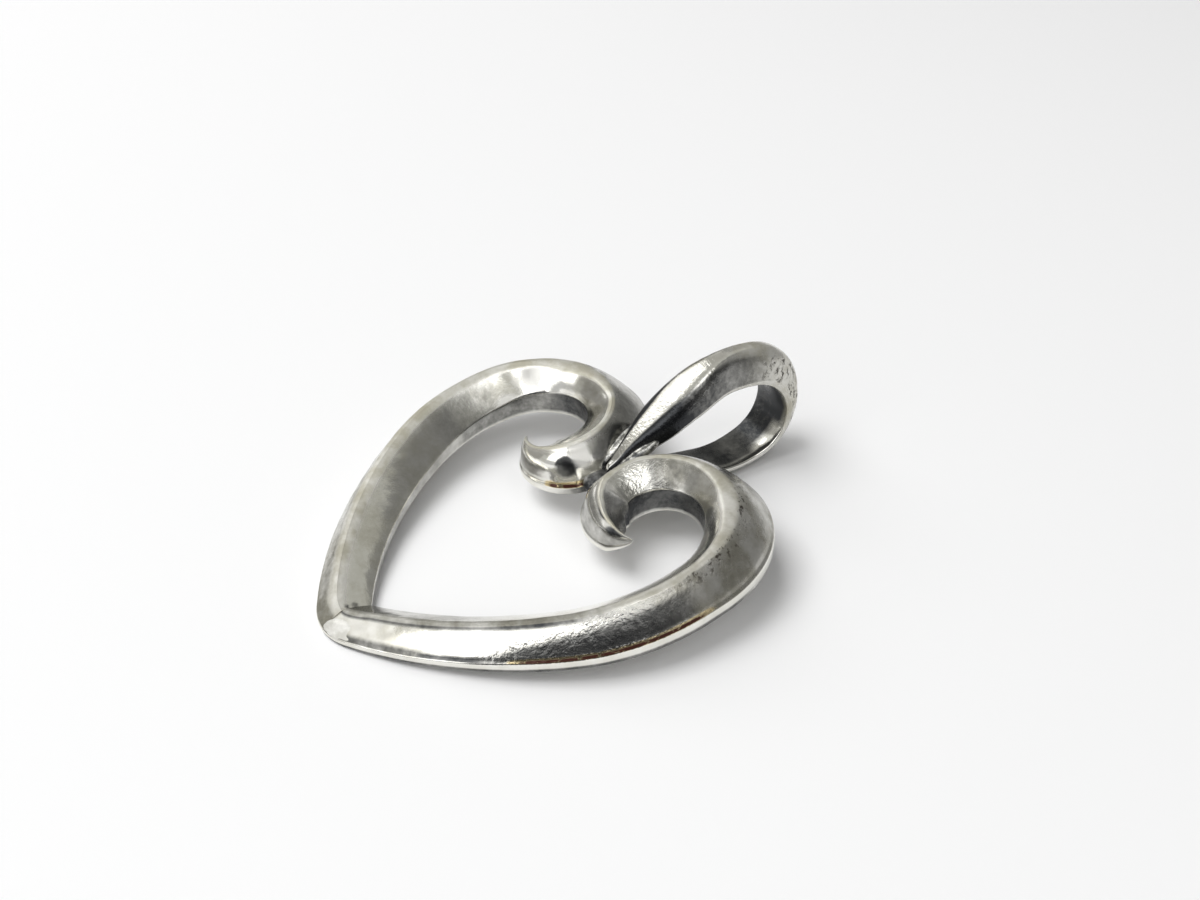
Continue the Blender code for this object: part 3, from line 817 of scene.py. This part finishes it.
def bail_builder():
    """The bail: its band swept along its line."""
    line = bail_line()
    travelled = [0.0]
    for (start, _), (end, _) in zip(line, line[1:]):
        travelled.append(travelled[-1] + (end - start).length)
    total = travelled[-1]
    rings = []
    finishes = []
    for (point, angle), distance in zip(line, travelled):
        normal = bail_normal(angle)
        keep = nose(distance, FOOT_ROUNDING) * nose(total - distance, BACK_ROUNDING)
        section, marks = band_section(distance / total, keep)
        rings.append([Vector((offset, *(point + normal * height))) for offset, height in section])
        finishes += [bail_finish(mark, distance / total) for mark in marks]
    builder = loft(rings)
    store_finish(builder, finishes)
    builder.normal_update()
    for vert in builder.verts:
        wave = sum(depth * noise(vert.co * waves) for depth, waves in BAIL_UNEVEN)
        vert.co += vert.normal * wave * ramp(vert.co.y, *BAIL_UNEVEN_FROM)
    return builder


# The solder: the valley's drop, the tip's bead (its size along the arm, down its slope and off it) and the bail's two
# fillets.
DROP_SIZE = (1.8, 2.2, 0.95)
DROP_PLACE = (0.0, SCROLL_CENTRE_Y, 0.675)
DROP_LUMPS = Vector((0.04, 0.04, 0.03))
DROP_WAVES = 1.5
BEAD_SIZE = (2.3, 1.05, 0.24)
BEAD_PLACE = (1.05, -0.5, 0.58)
BEAD_SLOPE = (0.86, -0.5)
BEAD_LUMPS = 0.16
BEAD_WAVES = 3.4
FILLET_SIZE = (0.8, 3.4, 0.8)
FILLET_PLACE = (0.78, 18.85, 1.82)
FILLET_TURN = math.radians(-9.0)
FILLET_PITCH = math.radians(24.0)
FILLET_LUMPS = Vector((0.03, 0.03, 0.03))


def ball(builder, segments):
    """The points of a ball 1 mm across, added to the builder."""
    made = bmesh.ops.create_uvsphere(builder, u_segments=segments, v_segments=segments // 2, radius=0.5)
    return made["verts"]


def drop_builder():
    """The dark drop in the valley where the two scrolls touch."""
    builder = bmesh.new()
    ball(builder, 48)
    bmesh.ops.scale(builder, vec=DROP_SIZE, verts=builder.verts)
    bmesh.ops.translate(builder, vec=DROP_PLACE, verts=builder.verts)
    for vert in builder.verts:
        vert.co += DROP_LUMPS * noise(vert.co * DROP_WAVES)
    return builder


def bead_builder():
    """The low peened bead that closes the mitre, lying on the near arm's outer slope."""
    builder = bmesh.new()
    for vert in ball(builder, 64):
        lump = 1 + BEAD_LUMPS * noise(vert.co * BEAD_WAVES)
        vert.co = Vector([co * size * lump for co, size in zip(vert.co, BEAD_SIZE)])
    along_arm = Vector((*onward(TIP.heading), 0.0))
    down_slope = Vector((*(outward(TIP.heading) * BEAD_SLOPE[0]), BEAD_SLOPE[1])).normalized()
    turn = Matrix((along_arm, down_slope, along_arm.cross(down_slope))).transposed().to_4x4()
    builder.transform(Matrix.Translation(BEAD_PLACE) @ turn)
    return builder


def fillet_builder():
    """The two beads that carry the bail's front leg, one along each flank of its foot."""
    builder = bmesh.new()
    for side in (1, -1):
        bead = ball(builder, 48)
        for vert in bead:
            vert.co = Vector([co * size for co, size in zip(vert.co, FILLET_SIZE)])
            vert.co += FILLET_LUMPS * noise(vert.co * DROP_WAVES)
        x, y, z = FILLET_PLACE
        place = (Matrix.Translation((side * x, y, z)) @ Matrix.Rotation(side * FILLET_TURN, 4, "Z")
                 @ Matrix.Rotation(FILLET_PITCH, 4, "X"))
        bmesh.ops.transform(builder, matrix=place, verts=bead)
    return builder


class Graph:
    """A material's nodes, with short ways to add and join them."""

    def __init__(self, name):
        self.material = bpy.data.materials.new(name)
        self.material.use_nodes = True
        self.nodes = self.material.node_tree.nodes
        self.links = self.material.node_tree.links
        self.shader = self.nodes["Principled BSDF"]

    def put(self, socket, value):
        if isinstance(value, bpy.types.NodeSocket):
            self.links.new(value, socket)
        else:
            socket.default_value = value

    def math(self, operation, a, b, clamp=False):
        node = self.nodes.new("ShaderNodeMath")
        node.operation = operation
        node.use_clamp = clamp
        self.put(node.inputs[0], a)
        self.put(node.inputs[1], b)
        return node.outputs[0]

    def times(self, a, b, clamp=False):
        return self.math("MULTIPLY", a, b, clamp)

    def plus(self, a, b, clamp=False):
        return self.math("ADD", a, b, clamp)

    def swing(self, value, amount):
        """How far a noise lies from its middle, times an amount."""
        return self.times(self.math("SUBTRACT", value, 0.5), amount)

    def mix(self, factor, a, b):
        node = self.nodes.new("ShaderNodeMix")
        node.data_type = "RGBA"
        self.put(node.inputs[0], factor)
        self.put(node.inputs[6], a)
        self.put(node.inputs[7], b)
        return node.outputs[2]

    def stretch(self, value, low, high, to_low=0.0, to_high=1.0):
        """Maps low..high to to_low..to_high, smoothly and within them."""
        node = self.nodes.new("ShaderNodeMapRange")
        node.interpolation_type = "SMOOTHSTEP"
        self.put(node.inputs["Value"], value)
        for name, number in (("From Min", low), ("From Max", high), ("To Min", to_low), ("To Max", to_high)):
            node.inputs[name].default_value = number
        return node.outputs["Result"]

    def attribute(self, name):
        node = self.nodes.new("ShaderNodeAttribute")
        node.attribute_name = name
        return node.outputs["Fac"]

    def place(self, seed):
        """The point on the piece in millimetres, moved by the seed."""
        coordinates = self.nodes.new("ShaderNodeTexCoord")
        node = self.nodes.new("ShaderNodeMapping")
        self.links.new(coordinates.outputs["Object"], node.inputs["Vector"])
        node.inputs["Scale"].default_value = (1 / MM, 1 / MM, 1 / MM)
        node.inputs["Location"].default_value = (seed * 13.1, seed * 7.7, seed * 3.3)
        return node.outputs["Vector"]

    def noise(self, place, scale, detail=3.0, roughness=0.55):
        node = self.nodes.new("ShaderNodeTexNoise")
        self.put(node.inputs["Vector"], place)
        node.inputs["Scale"].default_value = scale
        node.inputs["Detail"].default_value = detail
        node.inputs["Roughness"].default_value = roughness
        return node.outputs["Fac"]

    def relief(self, height):
        node = self.nodes.new("ShaderNodeBump")
        node.inputs["Distance"].default_value = BUMP_DEPTH
        self.put(node.inputs["Height"], height)
        self.links.new(node.outputs["Normal"], self.shader.inputs["Normal"])


SILVER = (0.875, 0.865, 0.82, 1.0)
FILM = (0.5, 0.475, 0.375, 1.0)
# The black of oxide, also used for painted shade and a painted dark reflection.
OXIDE_AND_SHADE = (0.045, 0.047, 0.05, 1.0)
PIT_BROWN = (0.035, 0.026, 0.018, 1.0)
RUSSET = (0.075, 0.026, 0.018, 1.0)
GOLD = (0.72, 0.6, 0.36, 1.0)
# In metres, as the relief in the materials is measured.
BUMP_DEPTH = 0.00003


def worn_silver(name, seed):
    """Old cast silver: bright metal, a beige film in clouds, black oxide in the hollows, painted shade and a painted
    dark reflection in the same black, painted highlights in matt silver, grain and pits.
    """
    g = Graph(name)
    place = g.place(seed)
    clouds = g.noise(place, 0.55, 5.0, 0.6)
    specks = g.noise(place, 3.2, 4.0, 0.65)
    fine = g.noise(place, 9.0, 3.0, 0.6)
    film = g.times(g.attribute("film"), g.stretch(clouds, 0.36, 0.66, 0.25, 1.0))
    film = g.plus(film, g.swing(specks, 0.35), clamp=True)
    colour = g.mix(film, SILVER, FILM)
    # This darkening is oxide in the hollows, and painted shade and a painted dark reflection elsewhere.
    tarnish_and_shade = g.attribute("tarnish_and_shade")
    uneven = g.plus(g.swing(clouds, 1.6), g.swing(specks, 0.8))
    uneven = g.times(uneven, g.stretch(tarnish_and_shade, 0.6, 0.95, 1.0, 0.3))
    depth = g.times(tarnish_and_shade, g.plus(uneven, 1.0), clamp=True)
    colour = g.mix(depth, colour, OXIDE_AND_SHADE)
    pit = g.times(g.stretch(g.noise(place, 2.6, 5.0, 0.75), 0.52, 0.59), g.attribute("pits"), clamp=True)
    colour = g.mix(g.times(pit, 0.9), colour, PIT_BROWN)
    brown = g.times(g.attribute("brown"), g.stretch(specks, 0.35, 0.5, 0.5, 1.0))
    colour = g.mix(g.stretch(brown, 0.03, 0.3), colour, GOLD)
    colour = g.mix(g.stretch(brown, 0.45, 0.85), colour, RUSSET)
    g.put(g.shader.inputs["Base Color"], colour)
    # Matt places lose their shine; the pale painted highlights are among them.
    shine = g.times(g.stretch(brown, 0.45, 0.85, 1.0, 0.3), g.math("SUBTRACT", 1.0, g.attribute("matt")))
    g.put(g.shader.inputs["Metallic"], shine)
    rough = 0.1
    for finish, roughening in ((film, 0.14), (g.attribute("frost"), 0.25), (depth, 0.15), (pit, 0.3)):
        rough = g.plus(rough, g.times(finish, roughening))
    rough = g.plus(rough, g.swing(fine, 0.12), clamp=True)
    g.put(g.shader.inputs["Roughness"], rough)
    peel = g.noise(place, 4.4, 3.0, 0.55)
    height = g.plus(g.times(peel, g.attribute("grain")), g.times(fine, 0.06))
    g.relief(g.math("SUBTRACT", height, g.times(pit, 0.25)))
    return g.material


def solder_metal(name, seed, low, colour, roughness, shine=1.0):
    """Solder in blotches of two colours, finely uneven."""
    g = Graph(name)
    place = g.place(seed)
    blotches = g.noise(place, 1.2, 5.0, 0.65)
    fine = g.noise(place, 7.0, 3.0, 0.6)
    g.put(g.shader.inputs["Base Color"], g.mix(g.stretch(blotches, 0.35, 0.68), low, colour))
    g.shader.inputs["Metallic"].default_value = shine
    g.put(g.shader.inputs["Roughness"], g.stretch(fine, 0.2, 0.8, roughness - 0.08, roughness + 0.12))
    g.relief(g.plus(blotches, g.times(fine, 0.3)))
    return g.material


silver_right = worn_silver("right arm silver", 1)
silver_left = worn_silver("left arm silver", 2)
silver_bail = worn_silver("bail silver", 3)
solder_dark = solder_metal("oxidised solder", 4, OXIDE_AND_SHADE, (0.3, 0.3, 0.3, 1.0), 0.35)
solder_pale = solder_metal("solder", 5, OXIDE_AND_SHADE, (0.7, 0.69, 0.65, 1.0), 0.3)
solder_bright = solder_metal("polished solder", 7, OXIDE_AND_SHADE, (0.8, 0.79, 0.74, 1.0), 0.16)
solder_tip = solder_metal("peened solder", 6, (0.62, 0.61, 0.56, 1.0), (0.85, 0.84, 0.8, 1.0), 0.36, 0.4)

add_piece("right_scroll_skin", arm_builder(False, 1), "right_scroll", silver_right)
add_piece("left_scroll_skin", arm_builder(True, 2), "left_scroll", silver_left)
add_piece("bail_skin", bail_builder(), "bail", silver_bail)
add_piece("tip_bead", bead_builder(), "tip_solder", solder_tip)
add_piece("valley_solder", drop_builder(), "scroll_solder", solder_dark)
add_piece("front_fillet", fillet_builder(), "bail_front_solder", solder_bright)

back_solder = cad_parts["bail_back_solder"]
back_solder.data.materials.clear()
back_solder.data.materials.append(solder_pale)


# Camera: the photograph's place and direction in the row frame.
CAMERA_AZIMUTH = math.radians(52.6665)
CAMERA_ELEVATION = math.radians(36.9487)
CAMERA_ROLL = math.radians(3.1214)
CAMERA_PLACE = Vector((48.742, -35.754, 51.125)) * MM
CAMERA_LENS = 40.381

forward = Vector((-math.sin(CAMERA_AZIMUTH) * math.cos(CAMERA_ELEVATION),
                  math.cos(CAMERA_AZIMUTH) * math.cos(CAMERA_ELEVATION), -math.sin(CAMERA_ELEVATION)))
level = Vector((math.cos(CAMERA_AZIMUTH), math.sin(CAMERA_AZIMUTH), 0.0))
above = level.cross(forward)
right = level * math.cos(CAMERA_ROLL) + above * math.sin(CAMERA_ROLL)
up = right.cross(forward)
camera_data = bpy.data.cameras.new("camera")
camera_data.lens = CAMERA_LENS
camera_data.sensor_width = 36.0
camera_data.clip_start = 0.001
camera = put_in_scene("camera", camera_data)
camera.matrix_world = Matrix((
    (right.x, up.x, -forward.x, CAMERA_PLACE.x),
    (right.y, up.y, -forward.y, CAMERA_PLACE.y),
    (right.z, up.z, -forward.z, CAMERA_PLACE.z),
    (0.0, 0.0, 0.0, 1.0)))
bpy.context.scene.camera = camera

# The studio: a white table and a white surround, with grey cards that only the metal's reflections see.
FLOOR_SIZE = 0.4
FLOOR_COLOUR = 0.95
FLOOR_WHITENING = 0.02
SURROUND_ON_DIFFUSE = 0.13
CARD_DISTANCE = 0.4
CARD_CELL = 5.0
# Each card: name, first and last azimuth (from +X towards +Y), lowest elevation, highest elevation at the first and
# at the last azimuth, and its grey.
CARDS = (
    ("black_right_low", -62.0, 15.0, -3.0, 10.0, 10.0, (0.025, 0.026, 0.03)),
    ("dark_front_right", -62.0, -40.0, 10.0, 34.0, 38.0, (0.075, 0.078, 0.085)),
    ("dark_right", -40.0, -6.0, 10.0, 38.0, 31.0, (0.075, 0.078, 0.085)),
    ("dark_right_middle", -6.0, 20.0, 10.0, 31.0, 25.0, (0.1, 0.1, 0.105)),
    ("dark_right_back", 20.0, 45.0, 10.0, 24.0, 24.0, (0.19, 0.19, 0.185)),
    ("dark_right_back_low", 15.0, 45.0, -3.0, 10.0, 10.0, (0.2, 0.2, 0.195)),
    ("grey_right_back_low", 45.0, 85.0, -3.0, 24.0, 22.0, (0.19, 0.19, 0.185)),
    ("grey_back_low", 85.0, 180.0, -3.0, 22.0, 22.0, (0.24, 0.24, 0.235)),
    ("grey_left_low", 180.0, 245.0, -3.0, 24.0, 24.0, (0.35, 0.345, 0.33)),
    ("pale_front_left_low", 245.0, 265.0, -3.0, 24.0, 24.0, (0.55, 0.55, 0.53)),
    ("grey_front_low", 265.0, 298.0, -3.0, 12.0, 12.0, (0.55, 0.55, 0.55)),
    ("grey_right_middle", 20.0, 60.0, 24.0, 38.0, 38.0, (0.19, 0.19, 0.19)),
    ("grey_back_middle", 60.0, 145.0, 22.0, 38.0, 38.0, (0.24, 0.24, 0.23)),
    ("pale_left_middle", 145.0, 180.0, 22.0, 38.0, 38.0, (0.55, 0.55, 0.52)),
    ("grey_left_middle", 180.0, 262.0, 24.0, 38.0, 38.0, (0.37, 0.365, 0.345)),
    ("pale_right_high", -36.0, 14.0, 45.0, 54.0, 54.0, (0.5, 0.5, 0.48)),
    ("grey_right_high", 14.0, 42.0, 38.0, 70.0, 70.0, (0.34, 0.34, 0.32)),
    ("grey_right_back_high", 42.0, 85.0, 38.0, 62.0, 62.0, (0.2, 0.2, 0.195)),
    ("pale_back_high", 85.0, 130.0, 38.0, 62.0, 62.0, (0.46, 0.46, 0.43)),
    ("pale_left_high", 130.0, 205.0, 38.0, 62.0, 62.0, (0.42, 0.415, 0.39)),
    ("white_left_high", 205.0, 262.0, 38.0, 62.0, 62.0, (0.75, 0.75, 0.72)),
    ("grey_top", 42.0, 330.0, 62.0, 90.0, 90.0, (0.48, 0.48, 0.455)),
)
# Each soft box: name, azimuth, elevation, distance, width, height, how bright its face is against white, and whether
# the metal shows it.
SOFT_BOXES = (
    ("key_box", 242.0, 62.0, 0.95, 0.58, 0.58, 5.5, False),
    ("left_box", 190.0, 42.0, 0.38, 0.27, 0.26, 1.3, True),
    ("top_box", 4.0, 62.0, 0.38, 0.16, 0.14, 1.4, True),
    ("front_box", 291.0, 40.0, 0.38, 0.36, 0.34, 1.2, True),
)


def direction(azimuth, elevation):
    """The way from the pendant to a place in the studio."""
    around, height = math.radians(azimuth), math.radians(elevation)
    return Vector((math.cos(around) * math.cos(height), math.sin(around) * math.cos(height), math.sin(height)))


def seen_directly(nodes, links):
    """1 for rays from the camera and for those that metal or glass sends on."""
    path = nodes.new("ShaderNodeLightPath")
    total = path.outputs["Is Camera Ray"]
    for name in ("Is Glossy Ray", "Is Transmission Ray"):
        more = nodes.new("ShaderNodeMath")
        more.operation = "MAXIMUM"
        links.new(total, more.inputs[0])
        links.new(path.outputs[name], more.inputs[1])
        total = more.outputs[0]
    return total


def add_stage_object(name, mesh, material):
    mesh.materials.append(material)
    thing = put_in_scene(name, mesh)
    return thing


def glowing_material(name, colour, glow):
    """A material without shine, and its shader, which gives off light of its own."""
    material = bpy.data.materials.new(name)
    material.use_nodes = True
    shader = material.node_tree.nodes["Principled BSDF"]
    shader.inputs["Base Color"].default_value = (*colour, 1.0)
    shader.inputs["Specular IOR Level"].default_value = 0.0
    shader.inputs["Emission Color"].default_value = (*glow, 1.0)
    return material, shader


def make_floor():
    """The white table top, which the camera and the metal see a touch whiter."""
    builder = bmesh.new()
    bmesh.ops.create_grid(builder, x_segments=2, y_segments=2, size=FLOOR_SIZE)
    material, shader = glowing_material("white table", [FLOOR_COLOUR] * 3, (1.0, 1.0, 1.0))
    shader.inputs["Roughness"].default_value = 0.9
    nodes, links = material.node_tree.nodes, material.node_tree.links
    scale = nodes.new("ShaderNodeMath")
    scale.operation = "MULTIPLY"
    links.new(seen_directly(nodes, links), scale.inputs[0])
    scale.inputs[1].default_value = FLOOR_WHITENING
    links.new(scale.outputs[0], shader.inputs["Emission Strength"])
    add_stage_object("table_top", to_mesh("table_top", builder), material)


def make_card(name, first, last, low, high_first, high_last, colour):
    """A plain grey card, part of a sphere round the pendant, that only reflections see."""
    builder = bmesh.new()
    across = max(round((last - first) / CARD_CELL), 2)
    tall = max(round((high_first - low) / CARD_CELL), 2)
    rows = []
    for j in range(tall + 1):
        row = []
        for i in range(across + 1):
            high = high_first + (high_last - high_first) * i / across
            place = direction(first + (last - first) * i / across, low + (high - low) * j / tall)
            row.append(builder.verts.new(CARD_DISTANCE * place))
        rows.append(row)
    for row, following in zip(rows, rows[1:]):
        for k in range(across):
            builder.faces.new((row[k], following[k], following[k + 1], row[k + 1]))
    material, shader = glowing_material(name, (0.0, 0.0, 0.0), colour)
    shader.inputs["Emission Strength"].default_value = 1.0
    material.cycles.emission_sampling = "NONE"
    card = add_stage_object(name, to_mesh(name, builder), material)
    card.visible_camera = card.visible_diffuse = card.visible_shadow = False
    card.visible_transmission = card.visible_volume_scatter = False


def make_soft_box(name, azimuth, elevation, distance, width, height, brightness, is_seen):
    """A soft lamp that faces the pendant. Its power makes its face as bright as the brightness says."""
    data = bpy.data.lights.new(name, "AREA")
    data.shape = "RECTANGLE"
    data.size = width
    data.size_y = height
    data.energy = brightness * math.pi * width * height
    lamp = put_in_scene(name, data)
    lamp.visible_glossy = is_seen
    lamp.location = distance * direction(azimuth, elevation)
    lamp.rotation_euler = direction(azimuth, elevation).to_track_quat("Z", "Y").to_euler()


def make_surround():
    """A white world, dimmed for the light that it gives to the table."""
    world = bpy.data.worlds.new("white surround")
    world.use_nodes = True
    nodes, links = world.node_tree.nodes, world.node_tree.links
    level = nodes.new("ShaderNodeMapRange")
    links.new(seen_directly(nodes, links), level.inputs["Value"])
    level.inputs["To Min"].default_value = SURROUND_ON_DIFFUSE
    level.inputs["To Max"].default_value = 1.0
    nodes["Background"].inputs["Color"].default_value = (1.0, 1.0, 1.0, 1.0)
    links.new(level.outputs["Result"], nodes["Background"].inputs["Strength"])
    world.cycles.sampling_method = "NONE"
    bpy.context.scene.world = world


make_floor()
for card_spec in CARDS:
    make_card(*card_spec)
for box_spec in SOFT_BOXES:
    make_soft_box(*box_spec)
make_surround()

bpy.context.scene.view_settings.view_transform = "Standard"
